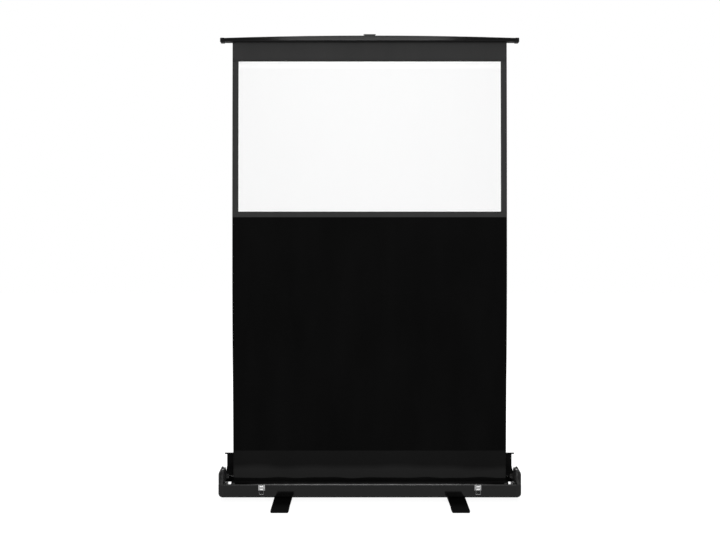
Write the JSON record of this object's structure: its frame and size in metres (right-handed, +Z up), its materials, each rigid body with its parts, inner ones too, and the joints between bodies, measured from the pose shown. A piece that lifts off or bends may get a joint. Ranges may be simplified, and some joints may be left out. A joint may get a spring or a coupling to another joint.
{
  "type": "portable projection screen",
  "caption": "Floor-standing pull-up projection screen: cloth on a spring roller in a long case, raised by a scissor linkage, with hinged lid, draw latches and swivel feet.",
  "frame": {"origin": "on the floor under the middle of the case, bottom centre of the bounding box", "axes": "+X along the case to the right seen from the front, +Y to the back, +Z up"},
  "size_m": [1.522, 0.418, 2.363],
  "materials": {
    "black_aluminium": "black powder coat, satin",
    "black_plastic": "fine moulded texture",
    "chrome": "bright plated",
    "steel": "zinc plated",
    "roller_aluminium": "mill finish",
    "rubber": "matt",
    "white_cloth": "matt white projection coating",
    "black_cloth": "matt black coated cloth",
    "border_cloth": "matt charcoal border print",
    "leader_cloth": "satin black cloth"
  },
  "bodies": {
    "case": {"case_tray": "black_aluminium", "end_cap_left": "black_plastic", "end_cap_right": "black_plastic", "hinge_ear_left": "black_plastic", "hinge_ear_right": "black_plastic", "lid_pins": "steel", "end_screws": "steel", "ear_screws": "steel", "roller_pin": "steel", "spring_shaft": "steel", "roller_spring": "steel", "roller_bracket_left": "black_plastic", "roller_bracket_right": "black_plastic", "base_bracket": "steel", "base_pin": "steel", "latch_plate_left": "chrome", "latch_plate_right": "chrome", "latch_pin_left": "chrome", "latch_pin_right": "chrome", "latch_rivets": "chrome", "foot_studs": "steel", "foot_washers": "black_plastic", "cloth_tail": "black_cloth", "cloth_leader": "leader_cloth", "cloth_drop": "black_cloth", "cloth_border": "border_cloth", "white_field": "white_cloth"},
    "roller": {"roller_tube": "roller_aluminium", "wound_cloth": "black_cloth", "roller_plugs": "black_plastic"},
    "lid": {"lid_shell": "black_aluminium", "lid_seal": "rubber", "lid_catches": "chrome"},
    "lower_left": {"lower_arm_left": "black_aluminium", "lower_pin_left": "steel"},
    "lower_right": {"lower_arm_right": "black_aluminium", "lower_pin_right": "steel"},
    "long_back": {"long_arm_back": "black_aluminium", "long_arm_pins": "steel"},
    "long_front": {"long_arm_front": "black_aluminium", "upper_pin_left": "steel"},
    "upper_right": {"upper_arm_right": "black_aluminium"},
    "upper_left": {"upper_arm_left": "black_aluminium"},
    "top_bar": {"top_rail": "black_aluminium", "bar_cover": "black_aluminium", "bar_cap_left": "black_plastic", "bar_cap_right": "black_plastic", "pull_grip": "black_plastic", "grip_screws": "steel", "top_bracket": "steel", "top_pin": "steel"},
    "lever_left": {"latch_lever_left": "chrome"},
    "bail_left": {"latch_bail_left": "chrome"},
    "foot_left": {"foot_left": "black_plastic", "foot_pads_left": "rubber"},
    "lever_right": {"latch_lever_right": "chrome"},
    "bail_right": {"latch_bail_right": "chrome"},
    "foot_right": {"foot_right": "black_plastic", "foot_pads_right": "rubber"}
  },
  "joints": [
    {"name": "fold", "type": "hinge", "parent": "case", "child": "lower_left", "pos_m": [0, 0, 0.062], "axis": [0, -1, 0], "range_deg": [0, 57.2], "deforming": ["cloth_tail", "cloth_leader", "cloth_drop", "cloth_border", "white_field"]},
    {"name": "lower_right_fold", "type": "hinge", "parent": "case", "child": "lower_right", "pos_m": [0, 0, 0.062], "axis": [0, 1, 0], "range_deg": [0, 57.2]},
    {"name": "long_back_fold", "type": "hinge", "parent": "lower_left", "child": "long_back", "pos_m": [-0.33513, 0, 0.61975], "axis": [0, 1, 0], "range_deg": [0, 114.4]},
    {"name": "long_front_fold", "type": "hinge", "parent": "long_back", "child": "long_front", "pos_m": [0, 0, 1.1775], "axis": [0, -1, 0], "range_deg": [0, 114.4]},
    {"name": "upper_right_fold", "type": "hinge", "parent": "long_back", "child": "upper_right", "pos_m": [0.33513, 0, 1.73525], "axis": [0, -1, 0], "range_deg": [0, 114.4]},
    {"name": "bar_level", "type": "hinge", "parent": "upper_right", "child": "top_bar", "pos_m": [0, 0, 2.293], "axis": [0, 1, 0], "range_deg": [0, 57.2]},
    {"name": "upper_left_fold", "type": "hinge", "parent": "top_bar", "child": "upper_left", "pos_m": [0, 0, 2.293], "axis": [0, 1, 0], "range_deg": [0, 57.2]},
    {"name": "roller_spin", "type": "hinge", "parent": "case", "child": "roller", "pos_m": [0, -0.0263, 0.078], "axis": [-1, 0, 0], "range_deg": [0, 5090.8]},
    {"name": "lid_hinge", "type": "hinge", "parent": "case", "child": "lid", "pos_m": [0, 0.062, 0.106], "axis": [-1, 0, 0], "range_deg": [-10, 75]},
    {"name": "foot_left_swivel", "type": "hinge", "parent": "case", "child": "foot_left", "pos_m": [-0.436, 0, 0.016], "axis": [0, 0, 1], "range_deg": [0, 90]},
    {"name": "foot_right_swivel", "type": "hinge", "parent": "case", "child": "foot_right", "pos_m": [0.436, 0, 0.016], "axis": [0, 0, 1], "range_deg": [-90, 0]},
    {"name": "lever_left_swing", "type": "hinge", "parent": "case", "child": "lever_left", "pos_m": [-0.541, -0.0665, 0.084], "axis": [-1, 0, 0], "range_deg": [0, 150]},
    {"name": "bail_left_swing", "type": "hinge", "parent": "lever_left", "child": "bail_left", "pos_m": [-0.541, -0.0665, 0.069], "axis": [-1, 0, 0], "range_deg": [0, 100]},
    {"name": "lever_right_swing", "type": "hinge", "parent": "case", "child": "lever_right", "pos_m": [0.541, -0.0665, 0.084], "axis": [-1, 0, 0], "range_deg": [0, 150]},
    {"name": "bail_right_swing", "type": "hinge", "parent": "lever_right", "child": "bail_right", "pos_m": [0.541, -0.0665, 0.069], "axis": [-1, 0, 0], "range_deg": [0, 100]}
  ],
  "couplings": [
    {"joint": "lower_right_fold", "follows": "fold", "ratio": 1},
    {"joint": "long_back_fold", "follows": "fold", "ratio": 2},
    {"joint": "long_front_fold", "follows": "fold", "ratio": 2},
    {"joint": "upper_right_fold", "follows": "fold", "ratio": 2},
    {"joint": "bar_level", "follows": "fold", "ratio": 1},
    {"joint": "upper_left_fold", "follows": "fold", "ratio": 1},
    {"joint": "roller_spin", "follows": "fold", "ratio": 89}
  ]
}
